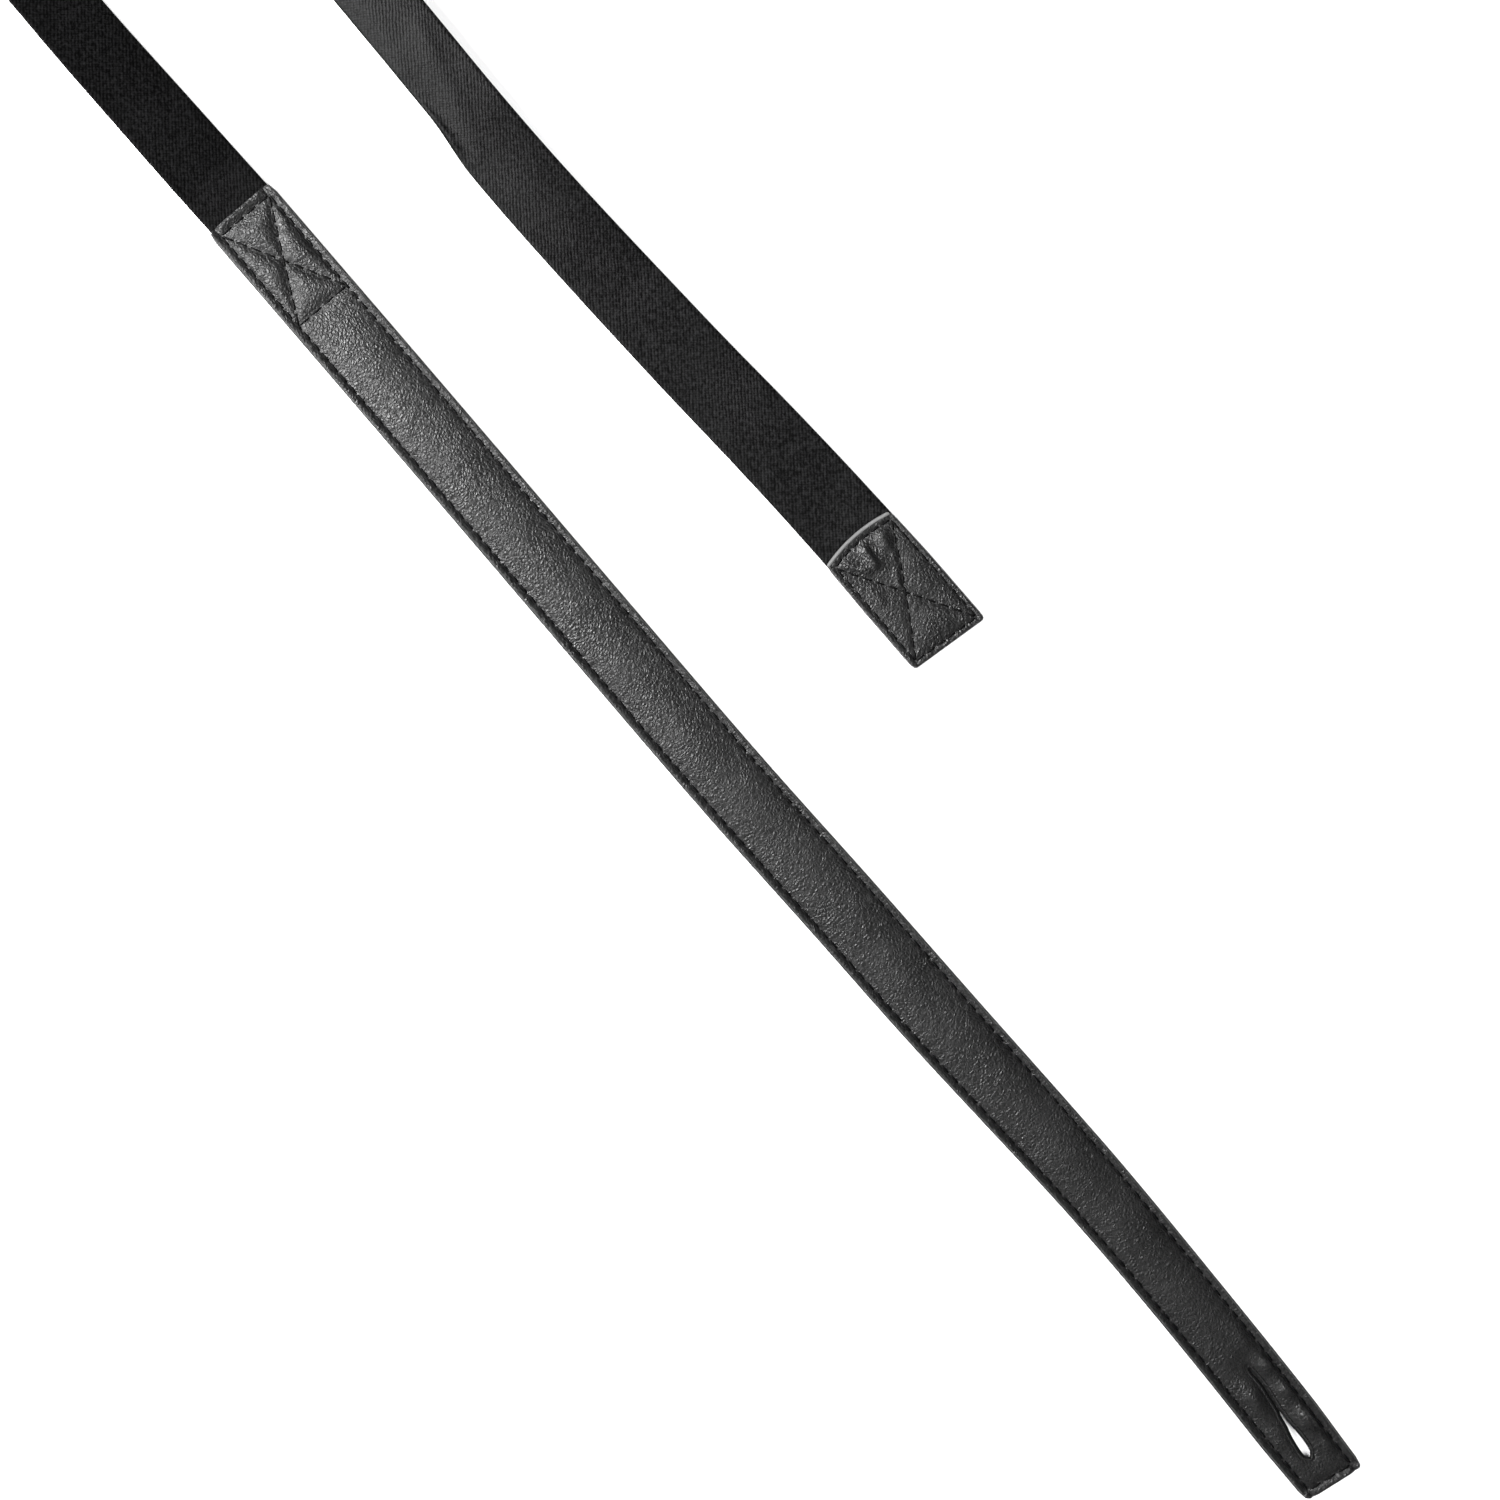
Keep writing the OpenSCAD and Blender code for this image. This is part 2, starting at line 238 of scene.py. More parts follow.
def eased(low, high, at):
    """0 before low, 1 after high and a smooth step between."""
    t = min(1.0, max(0.0, (at - low) / (high - low)))
    return t * t * (3 - 2 * t)


def steps(start, end, pitch):
    """Evenly spaced places from start to end, no further apart than pitch."""
    count = max(1, math.ceil(abs(end - start) / pitch))
    return [start + (end - start) * i / count for i in range(count + 1)]


def new_piece(name, bm, finish, body, replaced=(), smooth=True):
    """Turns a bmesh in millimetres into a finished piece that rides on a body, if one is given."""
    bmesh.ops.scale(bm, verts=bm.verts, vec=(MM, MM, MM))
    bmesh.ops.recalc_face_normals(bm, faces=bm.faces)
    mesh = bpy.data.meshes.new(name)
    bm.to_mesh(mesh)
    bm.free()
    if smooth:
        mesh.shade_smooth()
    mesh.materials.append(finish.material)
    piece = bpy.data.objects.new(name, mesh)
    bpy.context.scene.collection.objects.link(piece)
    if body:
        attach(piece, body)
    if replaced:
        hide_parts(*replaced)
    return piece


def skin(rings, bm=None, inside=()):
    """Adds a closed skin through rings of points, each a closed loop with as many points. The
    places in `inside` are marked for painted shade: the band's finish paints them black as the
    shaded pocket between two plies."""
    rows = len(rings) - 1
    columns = len(rings[0])
    bm = bm or bmesh.new()
    pocket_shade_layer = bm.verts.layers.float.get("inside") or bm.verts.layers.float.new("inside")
    made = bmesh.ops.create_grid(bm, x_segments=rows, y_segments=columns, size=0.5)["verts"]
    for vert in made:
        row = round((vert.co.x + 0.5) * rows)
        column = round((vert.co.y + 0.5) * columns)
        vert.co = rings[row][column % columns]
        vert[pocket_shade_layer] = float(column % columns in inside)
    bmesh.ops.remove_doubles(bm, verts=made, dist=1e-5)
    made = [vert for vert in made if vert.is_valid]
    rims = {edge for vert in made for edge in vert.link_edges if edge.is_boundary}
    bmesh.ops.holes_fill(bm, edges=list(rims), sides=0)
    return bm


def band_finish(name, shine, light):
    """Fine twill: slanting ribs crossed by the yarns, with a faint lint of the lighter tone."""
    finish = Finish(name, Roughness=0.45, Specular_IOR_Level=shine)
    place = finish.add("TexCoord", out=3)
    split = finish.tree.nodes.new("ShaderNodeSeparateXYZ")
    finish.tree.links.new(place.socket, split.inputs[0])
    along = Wire(finish.tree, split.outputs["X"])
    across = Wire(finish.tree, split.outputs["Y"])
    wander = finish.add("TexNoise", None, {"Vector": place, "Scale": 220.0, "Detail": 2.0})
    rib = ((along * 0.62 + across * 0.78) * 6200 + wander * 5.0).maths("SINE")
    yarn = ((along * 0.78 - across * 0.62) * 8300 + wander * 6.0).maths("SINE")
    weave = rib * 0.32 + yarn * 0.18 + 0.5
    lint = finish.add("TexNoise", None, {"Vector": place, "Scale": 950.0, "Detail": 3.0,
                                         "Roughness": 0.75})
    patch = finish.add("TexNoise", None, {"Vector": place, "Scale": 26.0, "Detail": 2.0})
    # Painted shade: where the inside attribute is set, in the slot between the plies, the colour is painted black as
    # the shade in that pocket, and the roughness is raised.
    pocket_shade = finish.add("Attribute", {"attribute_name": "inside"}, out=2)
    tone = (weave * 0.5 + lint * 2.4 + patch * 0.5 - 1.5).clamped() * (1 - pocket_shade)
    finish.shades((0.0008, 0.0008, 0.0008), (light, light, light * 1.03), tone)
    finish.feed("Roughness", 0.38 + lint * 0.14 + pocket_shade * 0.4)
    finish.relief(weave * 0.7 + lint * 1.2, 0.00011, 1.0)
    return finish


# The same twill twice: the second copy, with a darker tone and weaker specular, is painted shade for the sleeve's run,
# the turn and the fold noses.
twill = band_finish("black_twill", 0.08, 0.018)
shaded_twill = band_finish("black_twill_painted_shade", 0.02, 0.0095)

# Rolls are in degrees, + raises the edge towards +Y; waves are sideways; both go by the distance
# from the middle of the turn.
SLEEVE_RUN_WAVE = [(0, 0), (30, 0), (70, -0.8), (110, -0.2), (145, 0.4)]
SLEEVE_RUN_ROLL = [(0, 0), (18, 0), (52, -15), (90, -13), (125, -4), (143, 0)]
TAB_RUN_WAVE = [(0, 0), (30, 0), (90, -1.0), (140, -2.3), (195, -3.7), (264, -1.8), (313, 0.5),
                (348, 1.4), (395, 1.5)]
TAB_RUN_ROLL = [(0, 0), (20, 0), (70, 11), (130, 14), (165, 13), (196, 6), (225, 2), (260, -1),
                (300, 1), (325, -1), (347, 0)]
TAB_RUN_WIDTH = [(0, 23), (170, 23.4), (264, 24.6), (349, 26)]
TAB_RUN_TUCK = [(20, 0), (70, 1.0), (150, 1.5), (166, 1.5), (184, 0), (400, 0)]
TAB_RUN_RIDGES = [((140, 6.0), (182, -6.5), 0.35, 3.4), ((106, -2.0), (146, -7.0), 0.3, 4.0)]
PLY_GAP = [(0, 0.15), (152, 0.2), (164, 1.7), (174, 1.9), (184, 0.2), (400, 0.15)]


def line_distance(s, v, seam):
    """Distance of (s, v) from a straight seam, and how far along the seam it is."""
    (s0, v0), (s1, v1) = seam
    length = math.hypot(s1 - s0, v1 - v0)
    ds, dv = (s1 - s0) / length, (v1 - v0) / length
    along = min(length, max(0.0, (s - s0) * ds + (v - v0) * dv))
    return math.hypot(s - s0 - along * ds, v - v0 - along * dv), along


def ripple(u, v, seed):
    """Height of the cloth's soft ripples at u along and v across a run."""
    broad = noise.noise(Vector((u / 34, v / 16, seed)))
    small = noise.noise(Vector((u / 11, v / 9, seed + 7)))
    return 0.55 * broad + 0.14 * small


def band_ring(u, half, roll, wave, base, mid_y, fade, seed, cut, gap, tuck, ridges):
    """One ring round the doubled cloth at u from the turn. `cut` slants the end at the fold."""
    rows = 18
    ring = []
    ply = BAND_T / 2
    under = [(half - 0.25, 0.0)] + [(half - 2 * half * i / 6, 0.0) for i in range(1, 6)]
    under += [(-half + 0.2, 0.0), (-half, 0.12), (-half, ply - 0.12), (-half + 0.12, ply - 0.03)]
    slot_in = [(-half + 0.9 + gap, ply - 0.02), (-half + 0.9 + gap, ply + 0.02)]
    left = -half + gap * 0.55
    lip = gap * 0.5
    top_edge = [(left + 0.12, ply + 0.03 + lip), (left, ply + 0.12 + lip),
                (left, BAND_T - 0.12 + lip), (left + 0.15, BAND_T + lip)]
    top = []
    for i in range(1, rows):
        across = left + (half - left) * i / rows
        top.append((across, BAND_T + lip * math.exp(-((across - left) / 1.5) ** 2)))
    right = [(half - 0.18, BAND_T), (half, BAND_T - 0.2), (half + 0.06, ply), (half, 0.2)]
    tilt = math.radians(roll)
    for across, height in under + slot_in + top_edge + top + right:
        x, v = cut(u, across)
        lift = ripple(x, across, seed) * fade
        for start, end, rise, wide in ridges:
            lift += fade * rise * math.exp(-(line_distance(u, across, (start, end))[0] / wide) ** 2)
        if across < 0:
            across += tuck * (across / half) ** 2
        raised = (across + half if roll > 0 else across - half) * math.sin(tilt)
        lean = across * math.cos(tilt) + (half if roll > 0 else -half) * (1 - math.cos(tilt)) * -1
        arch = math.cos(across / half * math.pi / 2) * abs(math.sin(tilt)) * 1.2
        ring.append(Vector((TURN_X + x, mid_y + wave + lean - height * math.sin(tilt) * 0.5,
                            base(x) + height + raised + max(0.0, arch + lift + 0.3 * fade))))
    return ring


def run_base(end_x):
    """Height of a run's underside: on the turn, down on the table, then up into the leather."""
    def base(x):
        down = BAND_T * (1 - eased(BAND_W / 2 + 0.5, BAND_W / 2 + 16, x))
        return down + LEATHER_T * eased(end_x - 16, end_x - 1, x)
    return base


def band_run(mid_y, end_u, side, width, wave, roll, seed, gap, tuck, ridges):
    """Bmesh of a run, from its slanted fold to just inside its leather end."""
    half_turn = BAND_W / 2
    base = run_base(end_u)
    places = steps(-half_turn, 30, 1.0) + steps(30, end_u - 12, 1.5)[1:] + steps(end_u - 12, end_u, 0.6)[1:]

    def cut(u, across):
        slant = -side * across
        shift = (slant + half_turn) * (1 - eased(-half_turn, 26, u))
        return u + shift, across

    rings = []
    for u in places:
        flat = min(eased(14, 45, u), 1 - eased(end_u - 22, end_u - 3, u))
        rings.append(band_ring(u, through(width, u) / 2, through(roll, u), through(wave, u), base,
                               mid_y, flat, seed, cut, through(gap, u), through(tuck, u), ridges))
    # Columns 10 and 11 are the slot between the plies, marked for the painted shade of that pocket.
    return skin(rings, inside=(10, 11))


SLEEVE_END_U = MOUTH_X - TURN_X + 1.5
TAB_END_U = TAB_MOUTH_X - TURN_X + 3.5

run_cloth = new_piece(
    "sleeve_run_cloth",
    band_run(SLEEVE_Y, SLEEVE_END_U, 1, [(0, BAND_W), (145, BAND_W)], SLEEVE_RUN_WAVE,
             SLEEVE_RUN_ROLL, 3.1, [(0, 0.15), (145, 0.15)], [(0, 0), (145, 0)], []),
    shaded_twill, None, ("band_sleeve_run",))
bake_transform(run_cloth)

tab_run_cloth = new_piece(
    "tab_run_cloth",
    band_run(TAB_Y, TAB_END_U, -1, TAB_RUN_WIDTH, TAB_RUN_WAVE, TAB_RUN_ROLL, 8.4, PLY_GAP,
             TAB_RUN_TUCK, TAB_RUN_RIDGES),
    twill, None, ("band_tab_run",))
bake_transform(tab_run_cloth)


def turn_ring(share):
    """One ring across the crossing piece, cut on the slant at both its folds."""
    ring = []
    half = BAND_W / 2
    for across, height in ([(half - 0.2, 0)] + [(half - 2 * half * i / 6, 0) for i in range(1, 6)]
                           + [(-half + 0.2, 0), (-half, 0.12), (-half, BAND_T - 0.12), (-half + 0.2, BAND_T)]
                           + [(-half + 2 * half * i / 8, BAND_T) for i in range(1, 8)]
                           + [(half - 0.2, BAND_T), (half, BAND_T - 0.15), (half, 0.15)]):
        low_y = SLEEVE_Y - across
        high_y = TAB_Y + across
        y = low_y + (high_y - low_y) * share
        end = min(y - low_y, high_y - y) * math.sqrt(0.5)
        wrinkle = 0.25 * noise.noise(Vector((across / 14, y / 18, 2.0))) * eased(8, 20, end)
        ring.append(Vector((TURN_X + across, y, height + max(0.0, wrinkle))))
    return ring


new_piece("turn_cloth", skin([turn_ring(eased(0, 1, s) * 0.3 + s * 0.7) for s in steps(0, 1, 0.012)]),
          shaded_twill, "turn", ("band_turn",))


def fold_nose(name, mid_y, side):
    """The half-round outside of a flat fold."""
    outward = Vector((-1, -side, 0)).normalized()
    rings = []
    for across in steps(-BAND_W / 2, BAND_W / 2, 1.0):
        crease = Vector((TURN_X + across, mid_y - side * across, BAND_T))
        ring = []
        for k in range(9):
            angle = math.pi * (k / 8 - 0.5)
            ring.append(crease + (outward * math.cos(angle) + Vector((0, 0, math.sin(angle)))) * BAND_T)
        for height in (0.5, 0.0, -0.5):
            ring.append(crease - outward * 0.05 + Vector((0, 0, height * BAND_T)))
        rings.append(ring)
    nose = new_piece(name, skin(rings), shaded_twill, None)
    crease = Vector((TURN_X, mid_y, BAND_T)) * MM
    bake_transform(nose)


fold_nose("sleeve_fold_nose", SLEEVE_Y, 1)
fold_nose("tab_fold_nose", TAB_Y, -1)


def tongue(mid_y, start_x, end_x, half, wave):
    """The end of the band that is sewn inside the leather."""
    rings = []
    for x in steps(start_x, end_x, 2.0):
        y = mid_y + wave(x)
        low, high = LEATHER_T + 0.03, LEATHER_T + BAND_T - 0.03
        rings.append([Vector((x, y + across, z)) for across, z in
                      ((-half, low), (0, low), (half, low), (half, high), (0, high), (-half, high))])
    return skin(rings)


# ---------------------------------------------------------------------------------------------
# The sleeve's face: soft grained leather, its edges turned in, sewn down over the padding along
# both sides and across both ends. The mouth is quilted to the band inside it by a crossed box,
# and the tip is slit with a buttonhole.

SLEEVE_WAVE = [(0, 0.4), (80, 0.0), (170, -0.7), (235, -1.05), (285, -0.35), (334, 0.1),
               (383, 1.2), (405, 1.5), (432, 1.2), (470, 0.1), (500, -1.2), (522, -2.3)]
TIP_HALF = max(abs(v.co.y / MM - SLEEVE_Y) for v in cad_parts["sleeve_back"].data.vertices
               if v.co.x / MM > MOUTH_X + SLEEVE_LEN - 2.5)
MOUTH_HALF = (sleeve_high.y - sleeve_low.y) / 2 / MM
STITCH = 4.5
MARGIN = 2.2
MOUTH_SEAM = 3.1
BOX_END = 40.1
END_SEAM = SLEEVE_LEN - 2.6
SEAM_Z = 2.05
CORNER_R = 1.8
SLIT_START, SLIT_END = SLEEVE_LEN - 44, SLEEVE_LEN - 11
SLIT_LINE = [(470, 1.2), (478, 1.3), (484, 1.5), (490, 0.9), (496, 0.2), (503, -0.4), (511, -0.9),
             (522, -0.9)]
SLIT_GAP = [(493.5, 0), (495, 0.32), (499, 0.55), (502, 1.05), (506, 1.3), (509.5, 1.1), (511, 0.0)]


def sleeve_half(s):
    """Half the sleeve's width s from the mouth, before its corners are rounded."""
    taper = eased(SLEEVE_LEN - 214, SLEEVE_LEN - 60, s)
    end = 0.7 * eased(SLEEVE_LEN - 26, SLEEVE_LEN, s)
    return MOUTH_HALF + (TIP_HALF - MOUTH_HALF) * taper - end


def rounded_half(s):
    """The same with the corners at both ends rounded."""
    into = min(s, SLEEVE_LEN - s)
    inset = CORNER_R - math.sqrt(max(0.0, CORNER_R ** 2 - max(0.0, CORNER_R - into) ** 2))
    return sleeve_half(s) - inset


def on_sleeve(s, v, z):
    """Place of a point s along and v across the sleeve, laid in its gentle wave."""
    slope = (through(SLEEVE_WAVE, s + 1) - through(SLEEVE_WAVE, s - 1)) / 2
    slant = 0.13 * v * eased(SLEEVE_LEN - 20, SLEEVE_LEN, s)
    return Vector((MOUTH_X + s - v * slope + slant, SLEEVE_Y + through(SLEEVE_WAVE, s) + v, z))


def pillow(distance, reach, height):
    """Height of padded leather at a distance from the seam that holds it down."""
    t = min(1.0, distance / reach)
    return height * (1 - (1 - t) ** 2)


BOX_ROW = MOUTH_HALF - MARGIN
BOX_SEAMS = [((MOUTH_SEAM, -BOX_ROW), (MOUTH_SEAM, BOX_ROW)),
             ((BOX_END, -BOX_ROW), (BOX_END, BOX_ROW)),
             ((MOUTH_SEAM, -BOX_ROW), (BOX_END, BOX_ROW)),
             ((MOUTH_SEAM, BOX_ROW), (BOX_END, -BOX_ROW))]
TIP_PUFFS = [(480, 6.6, 1.1, 3.4), (490, 6.4, 1.2, 3.0), (501, 6.2, 2.0, 4.2), (468, 5.5, 0.4, 5.0),
             (500, -5.0, 0.5, 4.5), (486, -3.2, 1.3, 5.0), (510, 6.0, 0.7, 3.0)]


def sewn_near(s, v):
    """Distance from the nearest seam of the sleeve, negative outside the stitched outline."""
    near = min(sleeve_half(s) - MARGIN - abs(v), s - MOUTH_SEAM, END_SEAM - s)
    for line in BOX_SEAMS if s < BOX_END + 12 else ():
        near = min(near, line_distance(s, v, line)[0])
    if s > SLIT_START - 8:
        beyond = max(0.0, SLIT_START - s, s - SLIT_END)
        near = min(near, math.hypot(v - through(SLIT_LINE, s), beyond) - 1.2)
    return near


def cushion(length, half_at, near, pitch, columns, slack, push, frames):
    """Height of a sewn, padded panel by cloth simulation, as a function of s and v / half. The panel
    is simulated 20 times its size: its seams are held, its leather is a little too long for them,
    and the padding pushes it up from below."""
    grow = 20 * MM
    rows = round(length / pitch)
    bm = bmesh.new()
    bmesh.ops.create_grid(bm, x_segments=rows, y_segments=columns, size=0.5)
    bm.verts.index_update()
    cells, sewn = [], []
    for vert in bm.verts:
        i, j = round((vert.co.x + 0.5) * rows), round((vert.co.y + 0.5) * columns)
        s = length * i / rows
        v = (2 * j / columns - 1) * half_at(s)
        cells.append((i, j))
        if near(s, v) < 0.6:
            sewn.append(vert.index)
        lift = 0.02 * noise.noise(Vector((s / 3, v / 3, 2.2)))
        vert.co = Vector((s, v, lift)) * grow
    mesh = bpy.data.meshes.new("cushion")
    bm.to_mesh(mesh)
    bm.free()
    panel = bpy.data.objects.new("cushion", mesh)
    bpy.context.scene.collection.objects.link(panel)
    panel.vertex_groups.new(name="sewn").add(sewn, 1.0, "REPLACE")
    cloth = panel.modifiers.new("leather", "CLOTH").settings
    cloth.quality = 6
    cloth.mass = 0.35
    cloth.tension_stiffness = cloth.compression_stiffness = 12
    cloth.shear_stiffness = 8
    cloth.bending_stiffness = 6
    cloth.air_damping = 4
    cloth.vertex_group_mass = "sewn"
    cloth.shrink_min = -slack
    cloth.use_pressure = True
    cloth.uniform_pressure_force = push
    cloth.effector_weights.gravity = 0
    for frame_number in range(1, frames + 1):
        bpy.context.scene.frame_set(frame_number)
    posed = panel.evaluated_get(bpy.context.evaluated_depsgraph_get()).to_mesh()
    grid = [[0.0] * (columns + 1) for i in range(rows + 1)]
    for (i, j), vert in zip(cells, posed.vertices):
        grid[i][j] = vert.co.z / grow
    bpy.data.objects.remove(panel)
    bpy.context.scene.frame_set(1)
    print("CUSHION", max(max(line) for line in grid), sorted(max(line) for line in grid)[len(grid) // 2])

    def weights(t):
        return ((1 - t) ** 3 / 6, (3 * t ** 3 - 6 * t * t + 4) / 6,
                (-3 * t ** 3 + 3 * t * t + 3 * t + 1) / 6, t ** 3 / 6)

    def height(s, side):
        x, y = s / length * rows, (side + 1) / 2 * columns
        i, j = min(max(int(x), 0), rows - 1), min(max(int(y), 0), columns - 1)
        total = 0.0
        for di, wi in enumerate(weights(x - i)):
            line = grid[min(max(i + di - 1, 0), rows)]
            for dj, wj in enumerate(weights(y - j)):
                total += wi * wj * line[min(max(j + dj - 1, 0), columns)]
        return total

    return height


sleeve_cushion = None
sleeve_cushion = cushion(SLEEVE_LEN, sleeve_half, sewn_near, 1.2, 26, 0.002, 8.0, 36)


def face_height(s, v):
    """Height of the sleeve's face above the table."""
    half = sleeve_half(s)
    row = half - MARGIN
    side = row - abs(v)
    near, along = abs(side), s
    for seam in BOX_SEAMS if s < BOX_END + 12 else ():
        distance, place = line_distance(s, v, seam)
        if distance < near:
            near, along = distance, place
    tip = abs(END_SEAM - s)
    if tip < near:
        near, along = tip, v
    hole = abs((along / STITCH + 0.5) % 1 - 0.5) * STITCH
    pinch = math.exp(-(near / 0.55) ** 2)
    z = SEAM_Z - (0.2 + 0.2 * math.exp(-(hole / 0.6) ** 2)) * pinch
    scallop = 0.1 if near == abs(side) else 0.04
    z += scallop * math.cos(math.tau * along / STITCH + math.pi) * math.exp(-near / 1.6) * (1 - pinch)
    inside = side > 0 and MOUTH_SEAM < s < END_SEAM
    if inside:
        boxed = s < BOX_END
        full = 1.7 if boxed else 1.25 * (0.9 + 0.35 * noise.noise(Vector((s / 30, 0, 4.2))))
        full *= 1 - 0.45 * eased(SLIT_START - 26, SLIT_START, s)
        soft = min(1.0, near / 4)
        if sleeve_cushion:
            z += sleeve_cushion(s, v / half) + (pillow(near, 5.5, 0.75) if boxed else 0.0)
        else:
            z += pillow(near, 7.0 if boxed else 5.4, full)
        z += soft * 0.38 * noise.noise(Vector((s / 19, v / 13, 1.3)))
        z += soft * 0.07 * noise.noise(Vector((s / 5, v / 4.5, 5.3)))
        if boxed:
            z += soft * 0.12 * noise.noise(Vector((s / 6, v / 8, 9.1)))
    else:
        z += 0.45 * eased(-0.6, 2.3, near) * (2.0 - eased(2, 6, s) + eased(END_SEAM - 1, END_SEAM + 1, s))
    outline = min(half - abs(v), s + 0.02, SLEEVE_LEN - s)
    into_s, into_v = min(s, SLEEVE_LEN - s), half - abs(v)
    if into_s < CORNER_R and into_v < CORNER_R:
        outline = CORNER_R - math.hypot(CORNER_R - into_s, CORNER_R - into_v)
    fall = 0.55
    outline = max(0.0, outline)
    z -= fall - math.sqrt(max(0.0, fall ** 2 - max(0.0, fall - outline) ** 2))
    for ps, pv, height, size in TIP_PUFFS if s > 450 else ():
        z += height * math.exp(-(((s - ps) / size) ** 2 + ((v - pv) / 2.3) ** 2)) * eased(0, 2, side)
    if SLIT_START - 8 < s < SLIT_END + 6:
        centre = through(SLIT_LINE, s)
        beyond = max(0.0, SLIT_START - s, s - SLIT_END)
        lip = math.hypot(max(0.0, abs(v - centre) - gap_at(s)), beyond)
        z -= 0.5 * math.exp(-(lip / 1.0) ** 2) * (1 - 0.5 * eased(SLIT_START + 14, SLIT_END - 8, s))
        z += 0.12 * math.exp(-((lip - 2.4) / 0.8) ** 2)
    return z


def gap_at(s):
    """Half the width of the slit's opening."""
    return through(SLIT_GAP, s) if SLIT_GAP[0][0] < s < SLIT_GAP[-1][0] else 0.0


def edge_steps(start, end, pitch, fine):
    """Places from start to end that crowd towards both ends, where the leather turns down."""
    near = [start + f for f in fine]
    far = [end - f for f in reversed(fine)]
    return near + steps(near[-1], far[0], pitch)[1:-1] + far


EDGE = [0.0, 0.06, 0.18, 0.36, 0.6, 0.9, 1.3, 1.7]


def leather_face(height, half_at, rows, centre_at, gap, place, under):
    """A leather panel with its edges turned down: two halves that meet along a centre line, open
    wherever the line gapes, and the same outline again below, at the height that under() gives."""
    bm = bmesh.new()
    below = bm.verts.layers.float.new("below")
    columns = [0.0, 0.25, 0.5, 0.8, 1.1, 1.5, 2.0, 2.6]
    for side in (-1, 1):
        count = 26
        existing = set(bm.verts)
        bmesh.ops.create_grid(bm, x_segments=len(rows) - 1, y_segments=count, size=0.5)
        for vert in bm.verts:
            if vert in existing:
                continue
            s = rows[round((vert.co.x + 0.5) * (len(rows) - 1))]
            k = round((vert.co.y + 0.5) * count)
            centre = centre_at(s)
            inner = centre + side * gap(s)
            outer = side * half_at(s)
            span = abs(outer - inner)
            if k < len(columns):
                v = inner + side * columns[k]
            elif count - k < 12:
                fine = EDGE + [MARGIN - 0.2, MARGIN + 0.05, MARGIN + 0.35, MARGIN + 0.75]
                v = outer - side * fine[count - k] * min(1.0, span / 8)
            else:
                first, last = columns[-1], span - (MARGIN + 0.75)
                share = (k - len(columns) + 1) / (count - 12 - len(columns) + 2)
                v = inner + side * (first + (last - first) * share)
            top = height(s, v)
            vert.co = place(s, v, top)
            vert[below] = under(top, min(abs(outer - v), s, rows[-1] - s))
    bmesh.ops.remove_doubles(bm, verts=bm.verts, dist=1e-4)
    bmesh.ops.recalc_face_normals(bm, faces=bm.faces)
    if sum(f.normal.z for f in bm.faces) < 0:
        bmesh.ops.reverse_faces(bm, faces=bm.faces)
    lower = bmesh.ops.extrude_face_region(bm, geom=bm.faces[:])["geom"]
    for item in lower:
        if isinstance(item, bmesh.types.BMVert):
            item.co.z = item[below]
    return bm


def leather_finish(name, dark, light, rough, grain_depth):
    """Pebble-grained leather with fine creases between the pebbles."""
    finish = Finish(name, Roughness=rough, Specular_IOR_Level=0.6)
    place = finish.add("TexCoord", out=3)
    wander = finish.add("TexNoise", None, {"Vector": place, "Scale": 420.0, "Detail": 2.0}, out=1)
    bent = finish.add("MixRGB", {"blend_type": "LINEAR_LIGHT"}, {
        "Fac": 0.0009, "Color1": place, "Color2": wander})
    pebble = finish.add("TexVoronoi", {"feature": "DISTANCE_TO_EDGE"}, {"Vector": bent, "Scale": 900.0})
    coarse = finish.add("TexVoronoi", {"feature": "F1"}, {"Vector": bent, "Scale": 560.0})
    pores = finish.add("TexNoise", None, {"Vector": place, "Scale": 2600.0, "Detail": 2.0})
    patch = finish.add("TexNoise", None, {"Vector": place, "Scale": 45.0, "Detail": 3.0})
    crown = (pebble * 3.0).clamped()
    grain = crown * 0.6 + coarse * 0.4 + pores * 0.35
    finish.shades(dark, light, (patch * 0.8 + crown * 0.25 - 0.15).clamped())
    finish.feed("Roughness", rough - 0.28 + patch * 0.38 + (1 - crown) * 0.1 + pores * 0.16)
    finish.relief(grain, grain_depth, 0.75)
    return finish


face_leather = leather_finish("black_grained_leather", (0.0008, 0.0008, 0.0008), (0.0032, 0.0032, 0.0033), 0.45, 0.00028)

def face_under(top, into):
    """Underside of a face: flat under the sewn margins and a leather's thickness down inside."""
    low = LEATHER_T + 0.08
    return low + max(0.0, top - LEATHER_T - low) * eased(MARGIN, MARGIN + 1.5, into)


sleeve_rows = edge_steps(0, SLEEVE_LEN, 0.85, EDGE)
sleeve_face = new_piece(
    "sleeve_face_leather",
    leather_face(face_height, rounded_half, sleeve_rows, lambda s: through(SLIT_LINE, s)
                 * eased(440, 474, s), gap_at, on_sleeve, face_under),
    face_leather, "sleeve", ("sleeve_face",))

# ---------------------------------------------------------------------------------------------
# The sleeve's back: a flat leather lining, a little wider than the face, so its edge shows as a
# second line beside it. It is slit under the buttonhole and lies on the table.

BACK_UNDER = 0.25
back_leather = leather_finish("black_back_leather", (0.003, 0.003, 0.0031), (0.008, 0.008, 0.0082), 0.5, 0.0001)


def back_height(s, v):
    """Top of the back panel: flat, its edges rounded."""
    half = sleeve_half(s) + 0.45
    outline = max(0.0, min(half - abs(v), s + 0.05, SLEEVE_LEN - s))
    fall = 0.35
    return LEATHER_T - fall + math.sqrt(max(0.0, fall ** 2 - max(0.0, fall - outline) ** 2))


